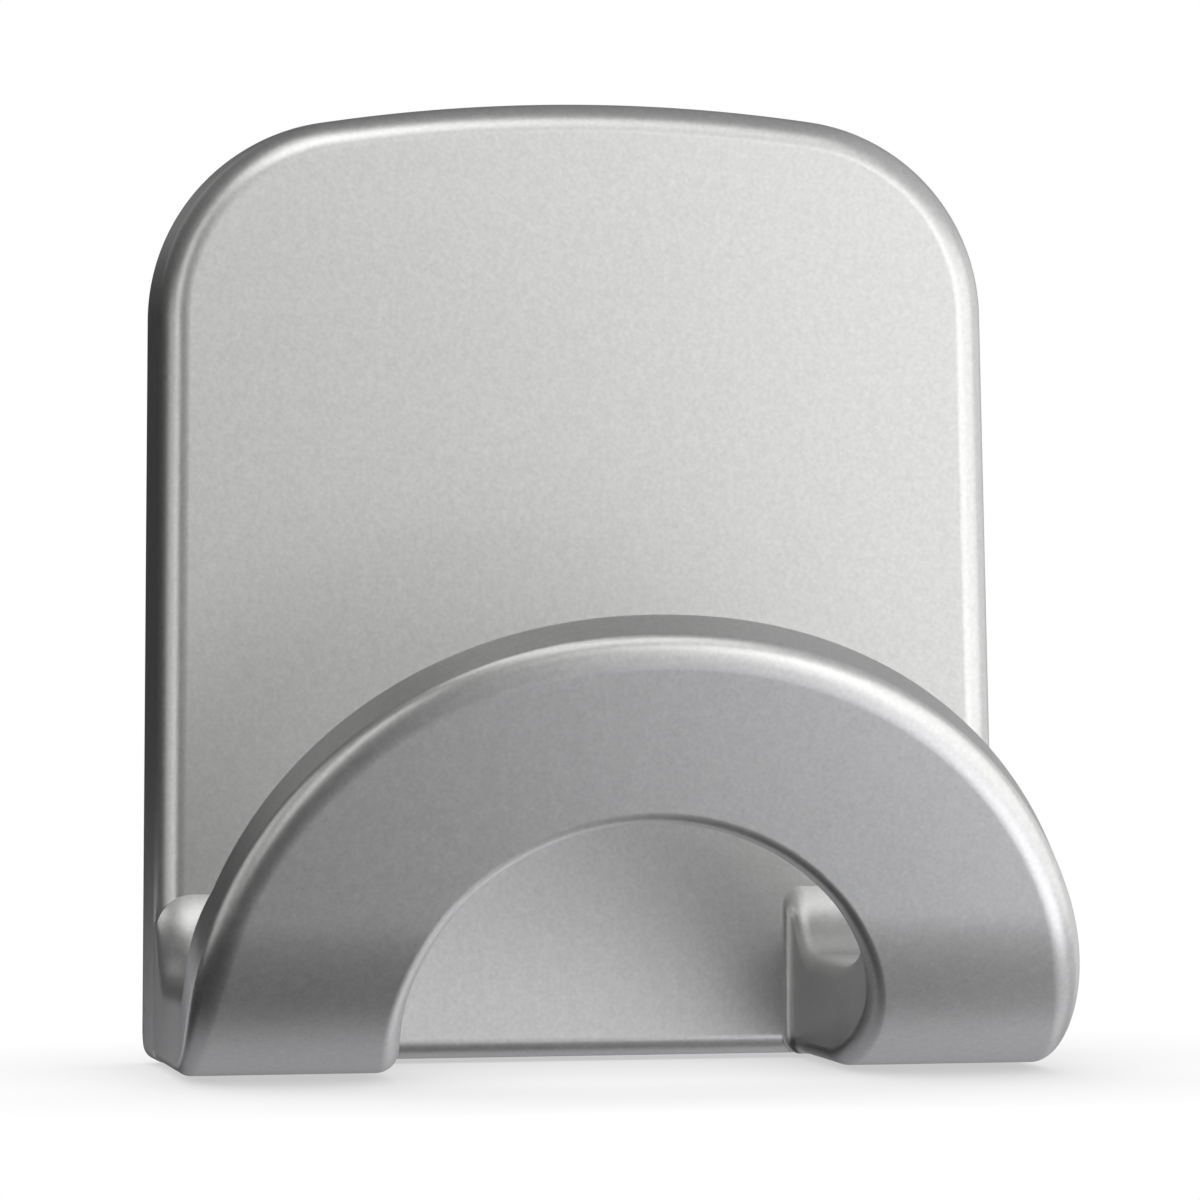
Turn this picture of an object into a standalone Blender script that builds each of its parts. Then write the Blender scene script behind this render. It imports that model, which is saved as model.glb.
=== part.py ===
# Self-adhesive wall hook: a one-piece plastic moulding, its foam pad and the pad's release liner.
# X is to the right, the front faces -Y, the wall is the plane Y = 0 and Z is up.
# The origin is the middle of the face that meets the wall.
import math

import bmesh
import bpy
from mathutils import Vector

MM = 0.001

# Back plate, in front view
PLATE_WIDTH = 45.0 * MM
PLATE_HEIGHT = 50.0 * MM
PLATE_THICKNESS = 5.5 * MM
SIDE_TAPER = math.radians(0.89)
TOP_CORNER_RADIUS = 10.6 * MM
CROWN_RADIUS = 90.0 * MM
BOTTOM_CORNER_RADIUS = 0.8 * MM
LEAST_CORNER_RADIUS = 0.3 * MM
FRONT_EDGE_RADIUS = 1.6 * MM
FOOT_EDGE_RADIUS = 1.1 * MM
BACK_EDGE_RADIUS = 0.8 * MM
SIDE_DRAFT = 0.15 * MM

# Hook in side view: the legs run forward from the plate, bend up and lean out as the lip
LEG_FLAT_LENGTH = 10.5 * MM
BEND_RADIUS = 14.0 * MM
LIP_LEAN = math.radians(25.2)
LIP_THICKNESS = 3.5 * MM
TROUGH_FLOOR_HEIGHT = 5.35 * MM
TROUGH_BACK_RADIUS = 4.65 * MM
TROUGH_FRONT_RADIUS = 7.8 * MM
TROUGH_EDGE_ANGLE = math.radians(75.0)

# Hook in front view: a half ring on two legs, with a half-round opening between them
LIP_HALF_WIDTH = 22.8 * MM
LIP_TOP_HEIGHT = 22.5 * MM
LIP_SQUARENESS = 2.11
LEG_INNER_HALF_WIDTH = 11.2 * MM
OPENING_HALF_WIDTH = 12.55 * MM
OPENING_TOP_HEIGHT = 13.25 * MM
OPENING_SQUARENESS = 2.0
ARCH_CENTRE_HEIGHT = 0.8 * MM
LEG_SET_IN = 0.05 * MM

# Edge rounding of the hook: the trough's edges are softer on the legs than behind the lip, and
# the lip's face rolls over to its rim in a quarter ellipse
LIP_ROLL_WIDTH = 1.6 * MM
LIP_ROLL_DEPTH = 1.0 * MM
LIP_BACK_ROUND = 0.5 * MM
OPENING_FRONT_ROUND = 1.0 * MM
OPENING_BACK_ROUND = 0.5 * MM
LEG_FOOT_ROUND = 0.8 * MM
LEG_OUTER_ROUND = 2.0 * MM
LEG_INNER_ROUND = 1.0 * MM
LEG_ROOT_FILLET = 0.55 * MM
LEG_ROOT_DEPTH = 2.0 * MM
LEG_ROOT_OVERLAP = 0.05 * MM
MOST_ROUND_SHARE = 0.45

# Moulded back: a recess that seats the pad, and cores between ribs behind the front skin
RIM_WIDTH = 1.6 * MM
SEAT_DEPTH = 0.8 * MM
SEAT_LEDGE = 1.6 * MM
FRONT_SKIN = 2.0 * MM
RIB_THICKNESS = 1.2 * MM
CORE_DRAFT = 0.15 * MM
CORE_BOTTOM_HEIGHT = 10.5 * MM
UPRIGHT_RIBS = 2
LEVEL_RIBS = 2

# Foam pad and release liner
PAD_THICKNESS = 1.0 * MM
PAD_SIDE_CLEARANCE = 0.4 * MM
LINER_THICKNESS = 0.15 * MM
LINER_OVERHANG = 0.7 * MM
CONTACT_GAP = 0.3 * MM

# Steps along curves
CORNER_STEPS = 12
CROWN_STEPS = 16
SMALL_ARC_STEPS = 4
EDGE_STEPS = 6
SECTION_STEPS = 5
TROUGH_STEPS = 9
BEND_STEPS = 12
ARCH_STEPS = 22
CUTTER_MARGIN = 1.0 * MM

# Planes parallel to the wall, from the wall forward
LINER_FRONT = -LINER_THICKNESS
PAD_BACK = LINER_FRONT - CONTACT_GAP
PAD_FRONT = PAD_BACK - PAD_THICKNESS
SEAT_PLANE = PAD_FRONT - CONTACT_GAP
PLATE_BACK = SEAT_PLANE + SEAT_DEPTH
PLATE_FRONT = PLATE_BACK - PLATE_THICKNESS
CORE_FLOOR = PLATE_FRONT + FRONT_SKIN


def arc(centre, radius, start, end, steps):
    """Points on an arc in the XZ plane, both ends included; angles from +X towards +Z."""
    points = []
    for i in range(steps + 1):
        angle = start + (end - start) * i / steps
        points.append((centre[0] + radius * math.cos(angle), centre[1] + radius * math.sin(angle)))
    return points


def plate_outline(inset, bottom_inset):
    """Outline of the plate moved in by inset, and by bottom_inset at its bottom edge.

    Tapered sides, small bottom corners, large top corners, and a crown that is tangent to them.
    """
    half = PLATE_WIDTH / 2 - inset / math.cos(SIDE_TAPER)
    slope = math.tan(SIDE_TAPER)
    crown = CROWN_RADIUS - inset
    corner = max(TOP_CORNER_RADIUS - inset, LEAST_CORNER_RADIUS)
    foot = max(BOTTOM_CORNER_RADIUS - inset, LEAST_CORNER_RADIUS)
    crown_centre = PLATE_HEIGHT - CROWN_RADIUS

    # The corner's centre lies a corner radius inside the side and inside the crown's circle
    offset = half - corner / math.cos(SIDE_TAPER)
    a = 1 + slope * slope
    b = -2 * (offset * slope + crown_centre)
    c = offset * offset + crown_centre * crown_centre - (crown - corner) ** 2
    corner_z = (-b + math.sqrt(b * b - 4 * a * c)) / (2 * a)
    corner_x = offset - slope * corner_z
    crown_angle = math.atan2(corner_z - crown_centre, corner_x)

    foot_z = bottom_inset + foot
    foot_x = half - foot / math.cos(SIDE_TAPER) - slope * foot_z
    right = arc((foot_x, foot_z), foot, -math.pi / 2, SIDE_TAPER, SMALL_ARC_STEPS)
    right += arc((corner_x, corner_z), corner, SIDE_TAPER, crown_angle, CORNER_STEPS)
    top = arc((0, crown_centre), crown, crown_angle, math.pi - crown_angle, CROWN_STEPS)
    left = [(-x, z) for x, z in reversed(right)]
    return right + top[1:-1] + left


def new_object(name, mesh, parent):
    obj = bpy.data.objects.new(name, mesh)
    obj.parent = parent
    bpy.context.scene.collection.objects.link(obj)
    return obj


def loft(name, rings, parent):
    """Closed solid through rings of points, each ring joined to the next, with capped ends."""
    bm = bmesh.new()
    loops = [[bm.verts.new(point) for point in ring] for ring in rings]
    count = len(rings[0])
    for lower, upper in zip(loops, loops[1:]):
        for i in range(count):
            j = (i + 1) % count
            bm.faces.new((lower[i], lower[j], upper[j], upper[i]))
    bm.faces.new(loops[0])
    bm.faces.new(loops[-1])
    bmesh.ops.recalc_face_normals(bm, faces=bm.faces)
    mesh = bpy.data.meshes.new(name)
    bm.to_mesh(mesh)
    bm.free()
    return new_object(name, mesh, parent)


def outline_ring(inset, bottom_inset, y):
    return [Vector((x, y, z)) for x, z in plate_outline(inset, bottom_inset)]


def make_plate(parent):
    """The plate, from its back edge forward over the rounded front edge."""
    rings = []
    for i in range(SMALL_ARC_STEPS + 1):
        angle = math.pi / 2 * i / SMALL_ARC_STEPS
        lift = BACK_EDGE_RADIUS * (1 - math.sin(angle))
        forward = BACK_EDGE_RADIUS * (1 - math.cos(angle))
        rings.append(outline_ring(0, lift, PLATE_BACK - forward))
    for i in range(EDGE_STEPS + 1):
        angle = math.pi / 2 * i / EDGE_STEPS
        sink = 1 - math.sin(angle)
        inset = SIDE_DRAFT + FRONT_EDGE_RADIUS * (1 - math.cos(angle))
        bottom_inset = FOOT_EDGE_RADIUS * (1 - math.cos(angle))
        rings.append(outline_ring(inset, bottom_inset, PLATE_FRONT + FRONT_EDGE_RADIUS * sink))
    return loft("hook_body", rings, parent)


def arch_point(half_width, top_height, squareness, turn):
    """Point of the half ring's edge: a superellipse about the arch's centre, turn from 0 to 1."""
    angle = math.pi / 2 * turn
    rise = top_height - ARCH_CENTRE_HEIGHT
    x = half_width * max(math.cos(angle), 0) ** (2 / squareness)
    z = ARCH_CENTRE_HEIGHT + rise * math.sin(angle) ** (2 / squareness)
    return x, z


def arch_turn(height, top_height, squareness):
    """The turn at which arch_point reaches a height."""
    share = max(height - ARCH_CENTRE_HEIGHT, 0) / (top_height - ARCH_CENTRE_HEIGHT)
    return math.asin(min(share, 1) ** (squareness / 2)) / (math.pi / 2)


def arch_half_width(height, half_width, top_height, squareness):
    turn = arch_turn(height, top_height, squareness)
    return arch_point(half_width, top_height, squareness, turn)[0]


def section_ring(front_in, back_in, front_out, back_out, leg_share):
    """Rounded rectangle between four corners: the opening's side (in) and the outer side (out).

    Front is the hook's outer or lower skin, back its inner or upper one. Three of the corners go
    from the lip's rounding to the leg's as leg_share goes from 0 to 1.
    """
    width = (front_out - front_in).length
    depth = (back_in - front_in).length
    roll_width = LIP_ROLL_WIDTH + (LEG_FOOT_ROUND - LIP_ROLL_WIDTH) * leg_share
    roll_depth = LIP_ROLL_DEPTH + (LEG_FOOT_ROUND - LIP_ROLL_DEPTH) * leg_share
    outer_round = LIP_BACK_ROUND + (LEG_OUTER_ROUND - LIP_BACK_ROUND) * leg_share
    inner_round = OPENING_BACK_ROUND + (LEG_INNER_ROUND - OPENING_BACK_ROUND) * leg_share
    corners = (
        (1, 0, roll_width, roll_depth, -90),
        (1, 1, outer_round, outer_round, 0),
        (0, 1, inner_round, inner_round, 90),
        (0, 0, OPENING_FRONT_ROUND, OPENING_FRONT_ROUND, 180),
    )
    ring = []
    for across_end, through_end, across_radius, through_radius, start in corners:
        across_radius = min(across_radius, MOST_ROUND_SHARE * width)
        through_radius = min(through_radius, MOST_ROUND_SHARE * depth)
        across_centre = width - across_radius if across_end else across_radius
        through_centre = depth - through_radius if through_end else through_radius
        for i in range(SECTION_STEPS + 1):
            angle = math.radians(start + 90 * i / SECTION_STEPS)
            across = (across_centre + across_radius * math.cos(angle)) / width
            through = (through_centre + through_radius * math.sin(angle)) / depth
            front = front_in.lerp(front_out, across)
            back = back_in.lerp(back_out, across)
            ring.append(front.lerp(back, through))
    return ring


def side_point(x, forward, z):
    """A point given by its distance in front of the plate's face."""
    return Vector((x, PLATE_FRONT - forward, z))


def make_hook(parent):
    """The legs and the lip as one band, carried from the right leg over the arch to the left."""
    floor = TROUGH_FLOOR_HEIGHT
    trough_start = TROUGH_BACK_RADIUS * math.sin(TROUGH_EDGE_ANGLE)
    lean = Vector((math.sin(LIP_LEAN), math.cos(LIP_LEAN)))
    sweep = math.pi / 2 - LIP_LEAN

    # The straight lip starts where the trough's front curve ends, square across its thickness
    bend_end = Vector((
        LEG_FLAT_LENGTH + BEND_RADIUS * math.sin(sweep),
        LEG_SET_IN + BEND_RADIUS * (1 - math.cos(sweep)),
    ))
    inward = Vector((-math.cos(LIP_LEAN), math.sin(LIP_LEAN)))
    trough_end_height = floor + TROUGH_FRONT_RADIUS * (1 - math.cos(sweep))
    back_foot = bend_end + LIP_THICKNESS * inward
    straight = (trough_end_height - back_foot.y) / math.cos(LIP_LEAN)
    lip_start_front = bend_end + straight * lean
    lip_start_back = back_foot + straight * lean
    trough_front_centre = lip_start_back.x - TROUGH_FRONT_RADIUS * math.sin(sweep)
    lip_start_height = (lip_start_front.y + lip_start_back.y) / 2

    # The legs leave the plate just inside its sides, and widen to the lip along the bend
    inner_step = OPENING_HALF_WIDTH - LEG_INNER_HALF_WIDTH
    outer_step = LIP_HALF_WIDTH - (PLATE_WIDTH / 2 - SIDE_DRAFT - LEG_SET_IN)

    def leg_station(front, back, key_height, root_share, fillet):
        x_in = arch_half_width(key_height, OPENING_HALF_WIDTH, OPENING_TOP_HEIGHT, OPENING_SQUARENESS)
        x_out = arch_half_width(key_height, LIP_HALF_WIDTH, LIP_TOP_HEIGHT, LIP_SQUARENESS)
        x_in -= inner_step * root_share + fillet
        x_out -= outer_step * root_share
        return section_ring(
            side_point(x_in, front.x, front.y),
            side_point(x_in, back.x, back.y),
            side_point(x_out, front.x, front.y),
            side_point(x_out, back.x, back.y),
            root_share,
        )

    def trough_height(forward):
        reach = TROUGH_BACK_RADIUS ** 2 - (trough_start - forward) ** 2
        return floor + TROUGH_BACK_RADIUS - math.sqrt(reach)

    # Root: inside the plate, then out through the fillet on the leg's inner wall
    root_edge = -LEG_ROOT_OVERLAP
    root_top = trough_height(root_edge)
    rings = []
    for forward in (-LEG_ROOT_DEPTH, root_edge):
        front = Vector((forward, LEG_SET_IN))
        back = Vector((forward, root_top))
        rings.append(leg_station(front, back, 0, 1, LEG_ROOT_FILLET))
    for i in range(1, SMALL_ARC_STEPS + 1):
        angle = math.pi / 2 * i / SMALL_ARC_STEPS
        forward = LEG_ROOT_FILLET * (1 - math.cos(angle))
        fillet = LEG_ROOT_FILLET * (1 - math.sin(angle))
        front = Vector((forward, LEG_SET_IN))
        back = Vector((forward, trough_height(forward)))
        rings.append(leg_station(front, back, 0, 1, fillet))

    # Back curve of the trough, down to its floor
    root_turn = math.asin((trough_start - LEG_ROOT_FILLET) / TROUGH_BACK_RADIUS)
    for i in range(1, TROUGH_STEPS + 1):
        turn = root_turn * (1 - i / TROUGH_STEPS)
        forward = trough_start - TROUGH_BACK_RADIUS * math.sin(turn)
        front = Vector((forward, LEG_SET_IN))
        back = Vector((forward, trough_height(forward)))
        rings.append(leg_station(front, back, 0, 1, 0))

    # Bend: the outer skin follows its arc and the straight after it while the trough's front turns
    arc_length = BEND_RADIUS * sweep
    for i in range(BEND_STEPS + 1):
        share = i / BEND_STEPS
        run = share * (arc_length + straight)
        turn = min(run, arc_length) / BEND_RADIUS
        front = Vector((
            LEG_FLAT_LENGTH + BEND_RADIUS * math.sin(turn),
            LEG_SET_IN + BEND_RADIUS * (1 - math.cos(turn)),
        ))
        front += max(run - arc_length, 0) * lean
        back = Vector((
            trough_front_centre + TROUGH_FRONT_RADIUS * math.sin(share * sweep),
            floor + TROUGH_FRONT_RADIUS * (1 - math.cos(share * sweep)),
        ))
        key_height = front.y + share * (back.y - front.y) / 2
        root_share = (1 + math.cos(math.pi * share)) / 2
        rings.append(leg_station(front, back, key_height, root_share, 0))

    # Arch: each section runs from the opening's edge to the outer edge in the leaning plane
    def lip_posts(x, height):
        rise = (height - lip_start_height) / math.cos(LIP_LEAN)
        front = lip_start_front + rise * lean
        back = lip_start_back + rise * lean
        return side_point(x, front.x, front.y), side_point(x, back.x, back.y)

    first_in = arch_turn(lip_start_height, OPENING_TOP_HEIGHT, OPENING_SQUARENESS)
    first_out = arch_turn(lip_start_height, LIP_TOP_HEIGHT, LIP_SQUARENESS)
    for i in range(1, ARCH_STEPS + 1):
        share = i / ARCH_STEPS
        turn_in = first_in + (1 - first_in) * share
        turn_out = first_out + (1 - first_out) * share
        x_in, z_in = arch_point(OPENING_HALF_WIDTH, OPENING_TOP_HEIGHT, OPENING_SQUARENESS, turn_in)
        x_out, z_out = arch_point(LIP_HALF_WIDTH, LIP_TOP_HEIGHT, LIP_SQUARENESS, turn_out)
        front_in, back_in = lip_posts(x_in, z_in)
        front_out, back_out = lip_posts(x_out, z_out)
        rings.append(section_ring(front_in, back_in, front_out, back_out, 0))

    mirrored = [[Vector((-p.x, p.y, p.z)) for p in ring] for ring in reversed(rings[:-1])]
    return loft("hook_band", rings + mirrored, parent)


def rib_bar(name, centre_x, centre_z, upright, parent):
    """Bar that keeps a rib between two cores; its draft makes it thicker towards the cores' floor."""
    rings = []
    for y in (PLATE_BACK + 1.5 * CUTTER_MARGIN, CORE_FLOOR - CUTTER_MARGIN):
        draft = CORE_DRAFT * (SEAT_PLANE - y) / (SEAT_PLANE - CORE_FLOOR)
        half_x = half_z = RIB_THICKNESS / 2 + draft
        if upright:
            half_z = PLATE_HEIGHT
        else:
            half_x = PLATE_WIDTH
        corners = ((-1, -1), (1, -1), (1, 1), (-1, 1))
        rings.append([Vector((centre_x + a * half_x, y, centre_z + b * half_z)) for a, b in corners])
    return loft(name, rings, parent)


def hide_cutter(obj):
    obj.display_type = "WIRE"
    obj.hide_render = True


def add_boolean(obj, operation, operand):
    modifier = obj.modifiers.new(operand.name, "BOOLEAN")
    modifier.operation = operation
    modifier.solver = "EXACT"
    modifier.object = operand
    hide_cutter(operand)


def settle(obj):
    """Keep the evaluated mesh in place of the modifiers, and shade it smooth up to crisp edges."""
    depsgraph = bpy.context.evaluated_depsgraph_get()
    mesh = bpy.data.meshes.new_from_object(obj.evaluated_get(depsgraph))
    obj.modifiers.clear()
    obj.data = mesh
    mesh.name = obj.name
    mesh.shade_smooth()
    mesh.set_sharp_from_angle(angle=math.radians(35))


def give_material(obj, name, colour, roughness, metallic):
    material = bpy.data.materials.new(name)
    material.use_nodes = True
    shader = material.node_tree.nodes["Principled BSDF"]
    shader.inputs["Base Color"].default_value = (*colour, 1)
    shader.inputs["Roughness"].default_value = roughness
    shader.inputs["Metallic"].default_value = metallic
    obj.data.materials.clear()
    obj.data.materials.append(material)


for old in list(bpy.data.objects):
    bpy.data.objects.remove(old, do_unlink=True)

# The pieces are built from the plate's bottom edge up, and hang from the middle of the wall face
assembly = bpy.data.objects.new("wall_hook", None)
assembly.location = (0, 0, -PLATE_HEIGHT / 2)
bpy.context.scene.collection.objects.link(assembly)

hook_body = make_plate(assembly)
hook_band = make_hook(assembly)
add_boolean(hook_body, "UNION", hook_band)

# Recess for the pad
recess_rings = [
    outline_ring(RIM_WIDTH, RIM_WIDTH, PLATE_BACK + CUTTER_MARGIN),
    outline_ring(RIM_WIDTH, RIM_WIDTH, SEAT_PLANE),
]
recess = loft("pad_recess", recess_rings, assembly)
add_boolean(hook_body, "DIFFERENCE", recess)

# Cores between the ribs, above the legs' roots
core_inset = RIM_WIDTH + SEAT_LEDGE
core_floor_inset = core_inset + CORE_DRAFT
core_rings = [
    outline_ring(core_inset, CORE_BOTTOM_HEIGHT, PLATE_BACK + CUTTER_MARGIN),
    outline_ring(core_inset, CORE_BOTTOM_HEIGHT, SEAT_PLANE),
    outline_ring(core_floor_inset, CORE_BOTTOM_HEIGHT + CORE_DRAFT, CORE_FLOOR),
]
cores = loft("cores", core_rings, assembly)
core_width = PLATE_WIDTH - 2 * core_inset
core_height = PLATE_HEIGHT - core_inset - CORE_BOTTOM_HEIGHT
for i in range(UPRIGHT_RIBS):
    x = core_width * ((i + 1) / (UPRIGHT_RIBS + 1) - 0.5)
    add_boolean(cores, "DIFFERENCE", rib_bar(f"upright_rib_{i}", x, PLATE_HEIGHT / 2, True, assembly))
for i in range(LEVEL_RIBS):
    z = CORE_BOTTOM_HEIGHT + core_height * (i + 1) / (LEVEL_RIBS + 1)
    add_boolean(cores, "DIFFERENCE", rib_bar(f"level_rib_{i}", 0, z, False, assembly))
add_boolean(hook_body, "DIFFERENCE", cores)
settle(hook_body)
give_material(hook_body, "silver painted plastic", (0.42, 0.42, 0.43), 0.38, 0.55)

# Foam pad, seated in the recess and proud of the rim
pad_inset = RIM_WIDTH + PAD_SIDE_CLEARANCE
pad_rings = [
    outline_ring(pad_inset, pad_inset, PAD_BACK),
    outline_ring(pad_inset, pad_inset, PAD_FRONT),
]
foam_pad = loft("foam_pad", pad_rings, assembly)
settle(foam_pad)
give_material(foam_pad, "white foam", (0.80, 0.79, 0.75), 0.9, 0.0)

# Release liner, a little larger than the pad so that a nail can lift it
liner_inset = pad_inset - LINER_OVERHANG
liner_rings = [
    outline_ring(liner_inset, liner_inset, 0),
    outline_ring(liner_inset, liner_inset, LINER_FRONT),
]
release_liner = loft("release_liner", liner_rings, assembly)
settle(release_liner)
give_material(release_liner, "silicone paper", (0.78, 0.74, 0.60), 0.45, 0.0)
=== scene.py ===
import math

import bpy
import numpy as np
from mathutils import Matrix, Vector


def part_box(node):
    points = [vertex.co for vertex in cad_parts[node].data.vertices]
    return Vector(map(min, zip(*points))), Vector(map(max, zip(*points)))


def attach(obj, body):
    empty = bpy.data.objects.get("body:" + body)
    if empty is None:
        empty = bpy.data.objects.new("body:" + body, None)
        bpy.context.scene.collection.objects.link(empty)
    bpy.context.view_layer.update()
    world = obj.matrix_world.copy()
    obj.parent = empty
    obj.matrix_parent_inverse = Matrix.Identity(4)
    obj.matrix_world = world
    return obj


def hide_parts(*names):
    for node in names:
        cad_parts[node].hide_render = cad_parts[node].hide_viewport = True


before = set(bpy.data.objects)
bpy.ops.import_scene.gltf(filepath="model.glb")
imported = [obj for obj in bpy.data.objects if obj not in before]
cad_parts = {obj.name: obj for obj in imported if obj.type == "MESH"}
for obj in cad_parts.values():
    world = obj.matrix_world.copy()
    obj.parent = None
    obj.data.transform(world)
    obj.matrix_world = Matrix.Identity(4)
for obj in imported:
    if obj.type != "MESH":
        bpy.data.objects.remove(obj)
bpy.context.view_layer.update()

# Hook moulding: the plate
# One injection moulding of plastic, sprayed with silver paint, is plate, legs and lip together.
# The plate is a slab with drafted, tapered sides, large top corners, a low crown and soft edges.
MM = 0.001
hook_low, hook_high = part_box("hook_body")
foot_level = hook_low.z
plate_height = hook_high.z - hook_low.z
plate_back = hook_high.y
plate_thickness = 5.5 * MM
plate_front = plate_back - plate_thickness
side_taper = math.radians(0.89)
side_slope = math.tan(side_taper)
top_corner_radius = 10.6 * MM
top_corner_least = 0.5 * MM
crown_radius = 90.0 * MM
bottom_corner_radius = 0.8 * MM
bottom_corner_least = 0.3 * MM
# The straight sides would meet the foot a little outside the small rounded corners
width_past_corner = bottom_corner_radius * (1 / math.cos(side_taper) - 1 + side_slope)
plate_width = 2 * (hook_high.x + width_past_corner)
front_edge_radius = 1.6 * MM
foot_edge_radius = 1.1 * MM
back_edge_radius = 0.8 * MM
side_draft = 0.15 * MM
foot_points, foot_corner_points, side_points = 16, 9, 40
top_corner_points, crown_points = 49, 41
back_edge_points, front_edge_points = 9, 17


def plate_outline(inset, bottom_inset):
    """Outlines in the XZ plane, one row for each inset.

    Half an outline runs from the middle of the foot along the straight foot, round the small
    bottom corner, up the tapered side, round the large top corner and along the crown's circle.
    The top corner is a circle that touches the side and the crown from within: its centre is
    where its distance from the crown's centre is the difference of their radii. The other half
    is the mirror image in x = 0. An inset outline has smaller corners, down to the least ones.
    """
    inset = np.atleast_1d(inset).astype(float)[:, None]
    bottom_inset = np.atleast_1d(bottom_inset).astype(float)[:, None]
    half = plate_width / 2 - inset / math.cos(side_taper)
    crown = crown_radius - inset
    corner = np.maximum(top_corner_radius - inset, top_corner_least)
    foot = np.maximum(bottom_corner_radius - inset, bottom_corner_least)
    crown_centre = plate_height - crown_radius

    offset = half - corner / math.cos(side_taper)
    a = 1 + side_slope ** 2
    b = -2 * (offset * side_slope + crown_centre)
    c = offset ** 2 + crown_centre ** 2 - (crown - corner) ** 2
    corner_z = (-b + np.sqrt(b ** 2 - 4 * a * c)) / (2 * a)
    corner_x = offset - side_slope * corner_z
    crown_angle = np.arctan2(corner_z - crown_centre, corner_x)
    foot_z = bottom_inset + foot
    foot_x = half - foot / math.cos(side_taper) - side_slope * foot_z

    along_foot = np.linspace(0, 1, foot_points, endpoint=False)
    foot_turn = np.linspace(-math.pi / 2, side_taper, foot_corner_points)
    along_side = np.linspace(0, 1, side_points)[1:-1]
    corner_turn = np.linspace(0, 1, top_corner_points)
    crown_turn = np.linspace(0, 1, crown_points)[1:]
    side_start_x = foot_x + foot * math.cos(side_taper)
    side_start_z = foot_z + foot * math.sin(side_taper)
    side_end_x = corner_x + corner * math.cos(side_taper)
    side_end_z = corner_z + corner * math.sin(side_taper)
    corner_angle = side_taper + (crown_angle - side_taper) * corner_turn
    top_angle = crown_angle + (math.pi / 2 - crown_angle) * crown_turn
    x = np.hstack((
        foot_x * along_foot,
        foot_x + foot * np.cos(foot_turn),
        side_start_x + (side_end_x - side_start_x) * along_side,
        corner_x + corner * np.cos(corner_angle),
        crown * np.cos(top_angle),
    ))
    z = np.hstack((
        bottom_inset + 0 * along_foot,
        foot_z + foot * np.sin(foot_turn),
        side_start_z + (side_end_z - side_start_z) * along_side,
        corner_z + corner * np.sin(corner_angle),
        crown_centre + crown * np.sin(top_angle),
    ))
    x = np.hstack((x, -x[:, -2:0:-1]))
    z = np.hstack((z, z[:, -2:0:-1]))
    return x, z + foot_level


def outline_rows(inset, bottom_inset, y):
    """Outline rows as points, each row at its own y."""
    x, z = plate_outline(inset, bottom_inset)
    return np.stack((x, np.broadcast_to(np.atleast_1d(y)[:, None], x.shape), z), axis=-1)


def closed_tube(name, rows):
    """Mesh object through rows of points: each row closes on itself, and the two ends are capped.

    Rows run counterclockwise when their end is looked at, so that the faces point outwards.
    """
    count, around = rows.shape[:2]
    row, column = np.meshgrid(np.arange(count - 1), np.arange(around), indexing="ij")
    following = (column + 1) % around
    corners = (row * around + column, row * around + following)
    corners += ((row + 1) * around + following, (row + 1) * around + column)
    faces = np.stack(corners, axis=-1).reshape(-1, 4).tolist()
    faces.append(list(range(around))[::-1])
    faces.append(list(range((count - 1) * around, count * around)))
    mesh = bpy.data.meshes.new(name)
    mesh.from_pydata(rows.reshape(-1, 3), [], faces)
    mesh.update()
    piece = bpy.data.objects.new(name, mesh)
    bpy.context.scene.collection.objects.link(piece)
    return piece


back_turn = np.linspace(0, math.pi / 2, back_edge_points)
front_turn = np.linspace(0, math.pi / 2, front_edge_points)
plate_inset = np.hstack((0 * back_turn, side_draft + front_edge_radius * (1 - np.cos(front_turn))))
plate_lift = np.hstack((
    back_edge_radius * (1 - np.sin(back_turn)),
    foot_edge_radius * (1 - np.cos(front_turn)),
))
plate_y = np.hstack((
    plate_back - back_edge_radius * (1 - np.cos(back_turn)),
    plate_front + front_edge_radius * (1 - np.sin(front_turn)),
))
hook = closed_tube("wall_hook_moulding", outline_rows(plate_inset, plate_lift, plate_y))

# Hook moulding: the legs and the lip
# They are one band: a rounded rectangle carried from the right leg over the arch to the left leg.
# It leaves the plate through a small fillet, bends up and leans out, moulded with the plate.
leg_flat_length = 10.5 * MM
bend_radius = 14.0 * MM
lip_lean = math.radians(25.2)
lip_thickness = 3.5 * MM
trough_floor_height = 5.35 * MM
trough_back_radius = 4.65 * MM
trough_front_radius = 7.8 * MM
trough_edge_angle = math.radians(75.0)
lip_half_width = 22.8 * MM
lip_top_height = 22.5 * MM
lip_squareness = 2.11
leg_inner_half_width = 11.2 * MM
opening_half_width = 12.55 * MM
opening_top_height = 13.25 * MM
opening_squareness = 2.0
arch_centre_height = 0.8 * MM
leg_set_in = 0.01 * MM
lip_roll_width = 1.6 * MM
lip_roll_depth = 1.0 * MM
lip_back_round = 0.5 * MM
opening_front_round = 1.0 * MM
opening_back_round = 0.5 * MM
leg_foot_round = 0.8 * MM
leg_outer_round = 2.0 * MM
leg_inner_round = 1.0 * MM
leg_root_fillet = 0.55 * MM
leg_root_depth = 2.0 * MM
face_overlap = 0.004 * MM
corner_most = 0.45  # a corner takes no more than this share of its section's side
fillet_points, fall_points, bend_points, arch_points, corner_points = 13, 25, 41, 65, 15


def arch_turn(height, top_height, squareness):
    """Angle on the half ring's edge, a superellipse about the arch's centre, at a height."""
    share = np.maximum(height - arch_centre_height, 0) / (top_height - arch_centre_height)
    return np.arcsin(np.minimum(share, 1) ** (squareness / 2))


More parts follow.
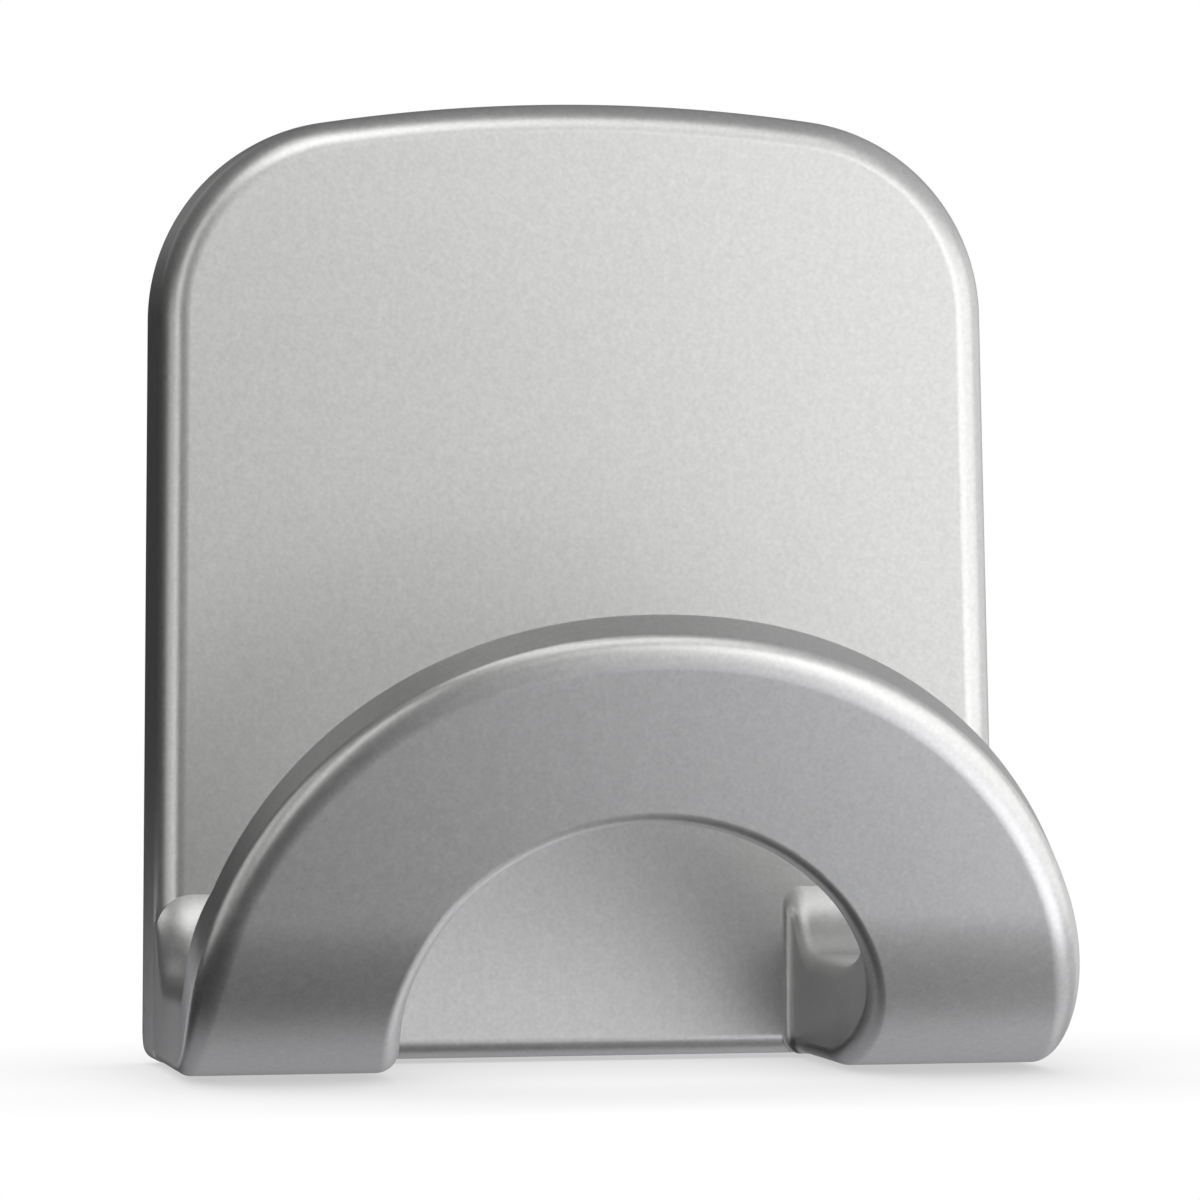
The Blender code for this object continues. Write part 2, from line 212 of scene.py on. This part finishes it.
def arch_edge(half_width, top_height, squareness, turn):
    """Half width and height on that superellipse: cosine and sine of turn, each to 2/squareness."""
    x = half_width * np.maximum(np.cos(turn), 0) ** (2 / squareness)
    z = arch_centre_height + (top_height - arch_centre_height) * np.sin(turn) ** (2 / squareness)
    return x, z


def leg_edges(front, back, key_height, root_share, fillet):
    """The four edges of leg sections whose skins stand at front and back, (forward, height) rows.

    The sides follow the arch's two superellipses at key_height, and root_share draws them in to
    the width of the plate and tapers the outer one as the plate's side. The fillet widens the
    leg on the opening's side.
    """
    inner_step = opening_half_width - leg_inner_half_width
    outer_step = lip_half_width - (plate_width / 2 - side_draft - leg_set_in)
    inner = arch_turn(key_height, opening_top_height, opening_squareness)
    outer = arch_turn(key_height, lip_top_height, lip_squareness)
    x_in = arch_edge(opening_half_width, opening_top_height, opening_squareness, inner)[0]
    x_out = arch_edge(lip_half_width, lip_top_height, lip_squareness, outer)[0]
    x_in = x_in - inner_step * root_share - fillet
    x_out = x_out - outer_step * root_share
    taper = side_slope * root_share
    return [
        np.column_stack((x_in, front)),
        np.column_stack((x_in, back)),
        np.column_stack((x_out - taper * front[:, 1], front)),
        np.column_stack((x_out - taper * back[:, 1], back)),
    ]


def trough_height(forward):
    """Height of the trough's back curve, a circle that ends at the plate's face."""
    start = trough_back_radius * math.sin(trough_edge_angle)
    reach = np.sqrt(trough_back_radius ** 2 - (start - forward) ** 2)
    return trough_floor_height + trough_back_radius - reach


# Root of the leg: inside the plate, then out through the fillet
fillet_turn = np.linspace(0, math.pi / 2, fillet_points)[1:]
fillet_run = leg_root_fillet * (1 - np.cos(fillet_turn))
fillet_width = leg_root_fillet * (1 - np.sin(fillet_turn))
root_forward = np.hstack((-leg_root_depth, -face_overlap, fillet_run))
root_fillet = np.hstack((leg_root_fillet, leg_root_fillet, fillet_width))
root_front = np.column_stack((root_forward, np.full_like(root_forward, leg_set_in)))
root_back = np.column_stack((root_forward, trough_height(np.maximum(root_forward, -face_overlap))))
root_edges = leg_edges(root_front, root_back, np.zeros_like(root_forward), 1, root_fillet)

# Back curve of the trough, down to its floor
trough_start = trough_back_radius * math.sin(trough_edge_angle)
fall_start = math.asin((trough_start - leg_root_fillet) / trough_back_radius)
fall = np.linspace(fall_start, 0, fall_points)[1:]
fall_forward = trough_start - trough_back_radius * np.sin(fall)
fall_front = np.column_stack((fall_forward, np.full_like(fall_forward, leg_set_in)))
fall_back = np.column_stack((fall_forward, trough_height(fall_forward)))
fall_edges = leg_edges(fall_front, fall_back, np.zeros_like(fall_forward), 1, 0)

# Bend: the outer skin follows its arc and the straight after it while the trough's front turns
sweep = math.pi / 2 - lip_lean
lean = np.array((math.sin(lip_lean), math.cos(lip_lean)))
inward = np.array((-math.cos(lip_lean), math.sin(lip_lean)))
bend_end = np.array((
    leg_flat_length + bend_radius * math.sin(sweep),
    leg_set_in + bend_radius * (1 - math.cos(sweep)),
))
trough_end_height = trough_floor_height + trough_front_radius * (1 - math.cos(sweep))
back_foot = bend_end + lip_thickness * inward
straight = (trough_end_height - back_foot[1]) / math.cos(lip_lean)
lip_start_front = bend_end + straight * lean
lip_start_back = back_foot + straight * lean
lip_start_height = (lip_start_front[1] + lip_start_back[1]) / 2
share = np.linspace(0, 1, bend_points)
arc_length = bend_radius * sweep
run = share * (arc_length + straight)
turn = np.minimum(run, arc_length) / bend_radius
bend_front = np.column_stack((
    leg_flat_length + bend_radius * np.sin(turn),
    leg_set_in + bend_radius * (1 - np.cos(turn)),
))
bend_front = bend_front + np.maximum(run - arc_length, 0)[:, None] * lean
bend_back = np.column_stack((
    lip_start_back[0] - trough_front_radius * (math.sin(sweep) - np.sin(share * sweep)),
    trough_floor_height + trough_front_radius * (1 - np.cos(share * sweep)),
))
key_height = bend_front[:, 1] + share * (bend_back[:, 1] - bend_front[:, 1]) / 2
bend_share = (1 + np.cos(math.pi * share)) / 2
bend_edges = leg_edges(bend_front, bend_back, key_height, bend_share, 0)

# Arch: each section runs from the opening's edge to the outer edge in the leaning plane
share = np.linspace(0, 1, arch_points)[1:]
arch_edges = []
for half_width, top_height, squareness in (
    (opening_half_width, opening_top_height, opening_squareness),
    (lip_half_width, lip_top_height, lip_squareness),
):
    first = arch_turn(lip_start_height, top_height, squareness)
    x, height = arch_edge(half_width, top_height, squareness, first + (math.pi / 2 - first) * share)
    rise = ((height - lip_start_height) / math.cos(lip_lean))[:, None] * lean
    arch_edges += [np.column_stack((x, start + rise)) for start in (lip_start_front, lip_start_back)]


def rounded_sections(front_in, back_in, front_out, back_out, leg_share):
    """Rounded rectangles between four edges, one row for each section.

    Each corner is a quarter ellipse in the section's own width and depth, and a point is placed
    between the four edges by its shares of both. Three of the corners go from the lip's rounding
    to the leg's as leg_share goes from 0 to 1.
    """
    width = np.linalg.norm(front_out - front_in, axis=1)[:, None]
    depth = np.linalg.norm(back_in - front_in, axis=1)[:, None]
    leg_share = leg_share[:, None]
    roll_width = lip_roll_width + (leg_foot_round - lip_roll_width) * leg_share
    roll_depth = lip_roll_depth + (leg_foot_round - lip_roll_depth) * leg_share
    outer_round = lip_back_round + (leg_outer_round - lip_back_round) * leg_share
    inner_round = opening_back_round + (leg_inner_round - opening_back_round) * leg_share
    across = []
    through = []
    for across_end, through_end, across_radius, through_radius, start in (
        (1, 0, roll_width, roll_depth, -90),
        (1, 1, outer_round, outer_round, 0),
        (0, 1, inner_round, inner_round, 90),
        (0, 0, opening_front_round, opening_front_round, 180),
    ):
        across_radius = np.minimum(across_radius, corner_most * width)
        through_radius = np.minimum(through_radius, corner_most * depth)
        angle = np.radians(np.linspace(start, start + 90, corner_points))
        across_centre = width - across_radius if across_end else across_radius
        through_centre = depth - through_radius if through_end else through_radius
        across.append((across_centre + across_radius * np.cos(angle)) / width)
        through.append((through_centre + through_radius * np.sin(angle)) / depth)
    across = np.hstack(across)[..., None]
    through = np.hstack(through)[..., None]
    front = front_in[:, None] * (1 - across) + front_out[:, None] * across
    back = back_in[:, None] * (1 - across) + back_out[:, None] * across
    return front * (1 - through) + back * through


band_edges = [np.vstack(parts) for parts in zip(root_edges, fall_edges, bend_edges, arch_edges)]
all_leg = np.ones(len(root_forward) + len(fall_forward))
leg_share = np.hstack((all_leg, bend_share, np.zeros(len(share))))
x, forward, height = np.moveaxis(rounded_sections(*band_edges, leg_share), -1, 0)
half_band = np.stack((x, plate_front - forward, foot_level + height), axis=-1)
other_half = half_band[-2::-1] * (-1, 1, 1)
band = closed_tube("band", np.vstack((half_band, other_half)))

# Hook moulding: the back
# A recess seats the foam pad, and cores between ribs keep the front skin even, so that it cools
# without sink marks. The mould's core side makes both, with draft.
pad_low, pad_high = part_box("foam_pad")
contact_gap = 0.3 * MM
seat_plane = pad_low.y - contact_gap
rim_width = 1.6 * MM
seat_ledge = 1.6 * MM
front_skin = 2.0 * MM
rib_thickness = 1.2 * MM
core_draft = 0.15 * MM
core_bottom_height = 10.5 * MM
core_floor = plate_front + front_skin
cutter_margin = 1.0 * MM
rib_margin = 1.5 * MM
hook_crease = math.radians(35)
recess = closed_tube("pad_recess", outline_rows(
    (rim_width, rim_width),
    (rim_width, rim_width),
    (plate_back + cutter_margin, seat_plane),
))
core_inset = rim_width + seat_ledge
core_floor_inset = core_inset + core_draft
cores = closed_tube("cores", outline_rows(
    (core_inset, core_inset, core_floor_inset),
    (core_bottom_height, core_bottom_height, core_bottom_height + core_draft),
    (plate_back + cutter_margin, seat_plane, core_floor),
))


def rib_bar(name, centre, half_x, half_z, draft_x, draft_z):
    """Bar with a rectangle at its back and a larger one, by the draft, at the cores' floor."""
    corners = np.array(((-1, -1), (1, -1), (1, 1), (-1, 1)))
    back = centre + corners * (half_x, half_z)
    floor = centre + corners * (half_x + draft_x, half_z + draft_z)
    levels = ((back, plate_back + rib_margin), (floor, core_floor - cutter_margin))
    return closed_tube(name, np.array([np.insert(points, 1, y, axis=1) for points, y in levels]))


def combine(piece, operation, other):
    """Exact Boolean of two closed meshes, kept in piece. The other object is used up."""
    modifier = piece.modifiers.new(other.name, "BOOLEAN")
    modifier.operation = operation
    modifier.solver = "EXACT"
    modifier.object = other
    keep_result(piece)
    bpy.data.objects.remove(other, do_unlink=True)


def keep_result(piece):
    """The piece's mesh as its modifiers leave it, without the modifiers."""
    evaluated = piece.evaluated_get(bpy.context.evaluated_depsgraph_get())
    mesh = bpy.data.meshes.new_from_object(evaluated)
    piece.modifiers.clear()
    piece.data = mesh
    mesh.name = piece.name


core_width = plate_width - 2 * core_inset
core_height = plate_height - core_inset - core_bottom_height
for i in (1, 2):
    x = core_width * (i / 3 - 0.5)
    bar = rib_bar("upright_rib", (x, 0), rib_thickness / 2, plate_height, core_draft, 0)
    combine(cores, "DIFFERENCE", bar)
    z = foot_level + core_bottom_height + core_height * i / 3
    bar = rib_bar("level_rib", (0, z), plate_width, rib_thickness / 2, 0, core_draft)
    combine(cores, "DIFFERENCE", bar)
combine(hook, "UNION", band)
combine(hook, "DIFFERENCE", recess)
combine(hook, "DIFFERENCE", cores)
hook.data.shade_smooth()
hook.data.set_sharp_from_angle(angle=hook_crease)
weighted = hook.modifiers.new("even faces", "WEIGHTED_NORMAL")
weighted.keep_sharp = True
keep_result(hook)


def linear(colour):
    """An sRGB hex colour turned to linear red, green, blue and alpha."""
    parts = np.array([int(colour[i:i + 2], 16) for i in (1, 3, 5)]) / 255
    parts = np.where(parts <= 0.04045, parts / 12.92, ((parts + 0.055) / 1.055) ** 2.4)
    return (*parts, 1)


def add_node(tree, kind, settings=None, values=None, links=None):
    """Adds a node, sets its properties and input values, and links outputs to its inputs."""
    node = tree.nodes.new(kind)
    for name, value in (settings or {}).items():
        setattr(node, name, value)
    for name, value in (values or {}).items():
        node.inputs[name].default_value = value
    for name, source in (links or {}).items():
        tree.links.new(source, node.inputs[name])
    return node


def new_material(name):
    """An empty node material with its output node."""
    material = bpy.data.materials.new(name)
    material.use_nodes = True
    material.node_tree.nodes.clear()
    output = add_node(material.node_tree, "ShaderNodeOutputMaterial")
    return material, material.node_tree, output


# Silver paint on moulded plastic: aluminium flakes in a satin clear binder, sprayed. The flakes
# give a metal's broad soft reflection with a fine grain, and the binder takes its edge off.
silver_paint, tree, output = new_material("sprayed silver paint")
place = add_node(tree, "ShaderNodeTexCoord").outputs["Object"]
flake_spacing = 0.22 * MM  # real flakes are about 0.03 mm, too fine to show
mottle_spacing = 0.5 * MM
mottle_share = 0.5
flake_height = 0.01 * MM
paint_shade = "#c3c3c3"
paint_light = "#d2d2d2"
flakes = add_node(
    tree, "ShaderNodeTexNoise",
    values={"Scale": 1 / flake_spacing, "Detail": 2.0, "Roughness": 0.6},
    links={"Vector": place},
)
mottle = add_node(
    tree, "ShaderNodeTexNoise",
    values={"Scale": 1 / mottle_spacing, "Detail": 3.0, "Roughness": 0.55},
    links={"Vector": place},
)
grain = add_node(
    tree, "ShaderNodeMath", {"operation": "MULTIPLY_ADD"},
    links={0: mottle.outputs["Fac"], 2: flakes.outputs["Fac"]},
)
grain.inputs[1].default_value = mottle_share
tone = add_node(
    tree, "ShaderNodeMapRange", values={"From Min": 0.45, "From Max": 1.05},
    links={"Value": grain.outputs["Value"]},
)
paint_colour = add_node(
    tree, "ShaderNodeMix", {"data_type": "RGBA"},
    links={0: tone.outputs["Result"]},
)
paint_colour.inputs[6].default_value = linear(paint_shade)
paint_colour.inputs[7].default_value = linear(paint_light)
gloss = add_node(
    tree, "ShaderNodeMapRange",
    values={"From Min": 0.3, "From Max": 0.7, "To Min": 0.37, "To Max": 0.40},
    links={"Value": mottle.outputs["Fac"]},
)
relief = add_node(
    tree, "ShaderNodeBump", values={"Strength": 0.35, "Distance": flake_height},
    links={"Height": flakes.outputs["Fac"]},
)
silver = add_node(
    tree, "ShaderNodeBsdfPrincipled", values={"Metallic": 0.9},
    links={
        "Base Color": paint_colour.outputs[2],
        "Roughness": gloss.outputs["Result"],
        "Normal": relief.outputs["Normal"],
    },
)
tree.links.new(silver.outputs["BSDF"], output.inputs["Surface"])
hook.data.materials.clear()
hook.data.materials.append(silver_paint)
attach(hook, "root")
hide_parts("hook_body")

# Foam pad
# Closed-cell polyethylene foam with an adhesive coat on each face, die-cut to the recess and
# pressed into it. It stands a little proud of the rim, so that it takes up a rough wall.
pad_inset = plate_width / 2 - pad_high.x
pad_bulge = 0.12 * MM
pad_side_points = 13
pad_crease = math.radians(40)
depth_share = np.linspace(0, 1, pad_side_points)
# The edge bulges as a parabola, widest halfway through the pad
pad_side_inset = pad_inset + pad_bulge * (2 * depth_share - 1) ** 2
pad_side_y = pad_high.y + (pad_low.y - pad_high.y) * depth_share
pad_rows = outline_rows(pad_side_inset, pad_side_inset, pad_side_y)
pad = closed_tube("adhesive_foam_pad", pad_rows)
pad.data.shade_smooth()
pad.data.set_sharp_from_angle(angle=pad_crease)

# Polyethylene foam: white, matt, with cut cells about 0.3 mm wide that pit its edge. Painted shade
# darkens the colour where the pits go deepest
foam, tree, output = new_material("closed cell polyethylene foam")
place = add_node(tree, "ShaderNodeTexCoord").outputs["Object"]
cell_width = 0.3 * MM
cell_depth = 0.06 * MM
foam_white = "#f0eee8"
foam_painted_pit_shade = "#cfccc2"
cells = add_node(
    tree, "ShaderNodeTexVoronoi", {"feature": "F1"},
    values={"Scale": 1 / cell_width}, links={"Vector": place},
)
# Painted shade: the colour runs to the darker tone where the cells are pitted deepest
foam_colour_and_pit_shade = add_node(
    tree, "ShaderNodeMix", {"data_type": "RGBA"}, links={0: cells.outputs["Distance"]},
)
foam_colour_and_pit_shade.inputs[6].default_value = linear(foam_white)
foam_colour_and_pit_shade.inputs[7].default_value = linear(foam_painted_pit_shade)
pits = add_node(
    tree, "ShaderNodeBump", {"invert": True}, values={"Strength": 0.7, "Distance": cell_depth},
    links={"Height": cells.outputs["Distance"]},
)
foam_shader = add_node(
    tree, "ShaderNodeBsdfPrincipled", values={"Roughness": 0.9},
    links={"Base Color": foam_colour_and_pit_shade.outputs[2], "Normal": pits.outputs["Normal"]},
)
tree.links.new(foam_shader.outputs["BSDF"], output.inputs["Surface"])
pad.data.materials.append(foam)
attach(pad, "root")
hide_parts("foam_pad")

# Release liner
# Glassine paper with a silicone coat, laid on the pad's adhesive and cut a little larger so that
# a nail can lift it. It comes off before the hook goes on the wall.
liner_low, liner_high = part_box("release_liner")
liner_inset = plate_width / 2 - liner_high.x
liner_edge_radius = 0.05 * MM
liner_edge_points = 5
liner_crease = math.radians(50)
liner_turn = np.linspace(0, math.pi / 2, liner_edge_points)
edge_in = liner_edge_radius * (1 - np.sin(liner_turn))
edge_along = liner_edge_radius * (1 - np.cos(liner_turn))
liner_side_inset = liner_inset + np.hstack((edge_in, edge_in[::-1]))
liner_side_y = np.hstack((liner_high.y - edge_along, liner_low.y + edge_along[::-1]))
liner_rows = outline_rows(liner_side_inset, liner_side_inset, liner_side_y)
liner = closed_tube("paper_release_liner", liner_rows)
liner.data.shade_smooth()
liner.data.set_sharp_from_angle(angle=liner_crease)

# Glassine paper: dense, slightly yellow, with soft fibre clouds and a smooth silicone gloss
glassine, tree, output = new_material("silicone coated glassine paper")
place = add_node(tree, "ShaderNodeTexCoord").outputs["Object"]
cloud_width = 2.5 * MM
fibre_width = 0.2 * MM
fibre_stretch = 4
fibre_share = 0.4
fibre_height = 0.01 * MM
paper_shade = "#dccfa2"
paper_light = "#e8dfc0"
clouds = add_node(
    tree, "ShaderNodeTexNoise",
    values={"Scale": 1 / cloud_width, "Detail": 4.0, "Roughness": 0.7}, links={"Vector": place},
)
stretched = add_node(
    tree, "ShaderNodeMapping", values={"Scale": (1, 1, 1 / fibre_stretch)}, links={"Vector": place},
)
fibres = add_node(
    tree, "ShaderNodeTexNoise",
    values={"Scale": 1 / fibre_width, "Detail": 2.0}, links={"Vector": stretched.outputs["Vector"]},
)
paper_tone = add_node(
    tree, "ShaderNodeMath", {"operation": "MULTIPLY_ADD"},
    links={0: fibres.outputs["Fac"], 2: clouds.outputs["Fac"]},
)
paper_tone.inputs[1].default_value = fibre_share
paper_share = add_node(
    tree, "ShaderNodeMapRange", values={"From Min": 0.4, "From Max": 1.0},
    links={"Value": paper_tone.outputs["Value"]},
)
paper_colour = add_node(
    tree, "ShaderNodeMix", {"data_type": "RGBA"}, links={0: paper_share.outputs["Result"]},
)
paper_colour.inputs[6].default_value = linear(paper_shade)
paper_colour.inputs[7].default_value = linear(paper_light)
paper_relief = add_node(
    tree, "ShaderNodeBump", values={"Strength": 0.4, "Distance": fibre_height},
    links={"Height": fibres.outputs["Fac"]},
)
paper_shader = add_node(
    tree, "ShaderNodeBsdfPrincipled", values={"Roughness": 0.42},
    links={"Base Color": paper_colour.outputs[2], "Normal": paper_relief.outputs["Normal"]},
)
tree.links.new(paper_shader.outputs["BSDF"], output.inputs["Surface"])
liner.data.materials.append(glassine)
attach(liner, "root")
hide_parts("release_liner")

# Floor
# White studio paper just under the hook. It glows evenly, and a painted contact shadow, short and
# soft, darkens the glow where the hook shuts out the sky. Reflections and shadows don't see it.
floor_gap = 0.2 * MM
floor_half = 300 * MM
shadow_reach = 22 * MM
shadow_depth = 0.45
floor_level = foot_level - floor_gap
floor_mesh = bpy.data.meshes.new("floor")
floor_corners = np.array(((-1, -1), (1, -1), (1, 1), (-1, 1))) * floor_half
floor_mesh.from_pydata(np.insert(floor_corners, 2, floor_level, axis=1), [], [(0, 1, 2, 3)])
floor = bpy.data.objects.new("floor", floor_mesh)
bpy.context.scene.collection.objects.link(floor)
floor.visible_glossy = False
floor.visible_diffuse = False
floor.visible_shadow = False
paper_white, tree, output = new_material("white studio paper")
openness = add_node(
    tree, "ShaderNodeAmbientOcclusion", {"samples": 16},
    values={"Distance": shadow_reach},
)
# Painted contact shadow: the glow is turned down where ambient occlusion finds the hook close
floor_glow_painted_shadow = add_node(
    tree, "ShaderNodeMapRange", values={"To Min": 1 - shadow_depth, "To Max": 1.0},
    links={"Value": openness.outputs["AO"]},
)
paper_glow = add_node(tree, "ShaderNodeEmission", links={"Strength": floor_glow_painted_shadow.outputs["Result"]})
tree.links.new(paper_glow.outputs["Emission"], output.inputs["Surface"])
floor_mesh.materials.append(paper_white)

# Light
# The camera sees white. A dim room, brighter on the right and above, and large panels in front
# and on the right light the hook. A narrow strip on the left draws the thin ridges, and small
# near cards light the leg and its trough. Lights below are a little cool, and the others warm.
white = (1, 1, 1, 1)
room_brightness = {"X": 0.66, "Z": 0.2}
world = bpy.data.worlds.new("studio")
world.use_nodes = True
bpy.context.scene.world = world
tree = world.node_tree
tree.nodes.clear()
direction = add_node(tree, "ShaderNodeTexCoord").outputs["Generated"]
axes = add_node(tree, "ShaderNodeSeparateXYZ", links={"Vector": direction})
room = None
for axis, brightness in room_brightness.items():
    side = add_node(
        tree, "ShaderNodeMapRange", values={"To Max": brightness},
        links={"Value": axes.outputs[axis]},
    ).outputs["Result"]
    if room is None:
        room = side
    else:
        room = add_node(tree, "ShaderNodeMath", links={0: room, 1: side}).outputs["Value"]
room_light = add_node(tree, "ShaderNodeBackground", links={"Strength": room})
room_light.inputs["Color"].default_value = white
backdrop = add_node(tree, "ShaderNodeBackground", values={"Strength": 1.0})
backdrop.inputs["Color"].default_value = white
camera_ray = add_node(tree, "ShaderNodeLightPath").outputs["Is Camera Ray"]
seen = add_node(tree, "ShaderNodeMixShader", links={0: camera_ray})
tree.links.new(room_light.outputs["Background"], seen.inputs[1])
tree.links.new(backdrop.outputs["Background"], seen.inputs[2])
add_node(tree, "ShaderNodeOutputWorld", links={"Surface": seen.outputs["Shader"]})

hook_middle = np.array((0, -12, 0)) * MM
high_light_colour = (1, 1, 0.983)
low_light_colour = (0.99, 0.99, 1.025)
low_elevation = -10


def softbox(name, azimuth, elevation, distance, width, height, radiance):
    """A rectangular area light that faces the hook's middle, placed by its direction from there.

    Angles are in degrees, and the distance and the two sides in millimetres. Its power is pi
    times its area times the radiance that it shows.
    """
    across, up = math.radians(azimuth), math.radians(elevation)
    place = np.array((
        math.sin(across) * math.cos(up),
        -math.cos(across) * math.cos(up),
        math.sin(up),
    ))
    light = bpy.data.lights.new(name, "AREA")
    light.shape = "RECTANGLE"
    light.size = width * MM
    light.size_y = height * MM
    light.energy = math.pi * light.size * light.size_y * radiance
    light.color = low_light_colour if elevation < low_elevation else high_light_colour
    lamp = bpy.data.objects.new(name, light)
    lamp.location = hook_middle + distance * MM * place
    lamp.rotation_euler = (math.pi / 2 - up, 0, across)
    lamp.visible_camera = False
    bpy.context.scene.collection.objects.link(lamp)


softbox("front panel", 24, 4, 350, 190, 190, 1.22)
softbox("right front panel", 40, 0, 250, 135, 235, 0.95)
softbox("right panel", 70, 0, 250, 160, 235, 1.05)
softbox("right rear panel", 118, -5, 250, 180, 235, 0.4)
softbox("front top strip", 10, 15, 350, 255, 75, 1.4)
softbox("front low strip", 10, -15, 350, 255, 75, 0.8)
softbox("upper panel", 5, 40, 250, 180, 65, 1.4)
softbox("top panel", 5, 55, 250, 180, 65, 1.5)
softbox("low right card", 45, -38, 250, 110, 90, 2.3)
softbox("low front card", 20, -35, 250, 110, 90, 1.0)
softbox("floor card", 90, -60, 250, 290, 110, 0.45)
softbox("low rear card", 180, -40, 250, 290, 135, 0.35)
softbox("under rear card", 180, -65, 250, 290, 110, 0.35)
softbox("rear left card", -152, 26, 250, 135, 110, 0.25)
softbox("left strip", -48, 8, 250, 35, 235, 2.9)
softbox("left front strip", -14, 5, 350, 75, 190, 0.3)
softbox("near left card", -75, -5, 80, 35, 60, 0.8)
softbox("leg card", -125, -27, 60, 20, 20, 0.9)
softbox("trough card", -40, 60, 80, 45, 45, 1.3)

# Camera
# A long lens a little to the left of the hook and level with its middle, as in the photograph.
camera_aim = np.array((0.33, -12.0, -1.14)) * MM
camera_azimuth = math.radians(-8.56)
camera_elevation = math.radians(-0.15)
camera_roll = math.radians(-0.47)
camera_distance = 400 * MM
focal_length, sensor_width = 233.0, 36.0  # both in millimetres, as the camera takes them
lens = bpy.data.cameras.new("camera")
lens.lens = focal_length
lens.sensor_width = sensor_width
camera = bpy.data.objects.new("camera", lens)
camera.location = camera_aim + camera_distance * np.array((
    math.sin(camera_azimuth) * math.cos(camera_elevation),
    -math.cos(camera_azimuth) * math.cos(camera_elevation),
    math.sin(camera_elevation),
))
camera.rotation_euler = (math.pi / 2 - camera_elevation, 0, camera_azimuth)
camera.rotation_euler.rotate_axis("Z", camera_roll)
bpy.context.scene.collection.objects.link(camera)
bpy.context.scene.camera = camera
bpy.context.scene.view_settings.view_transform = "Standard"
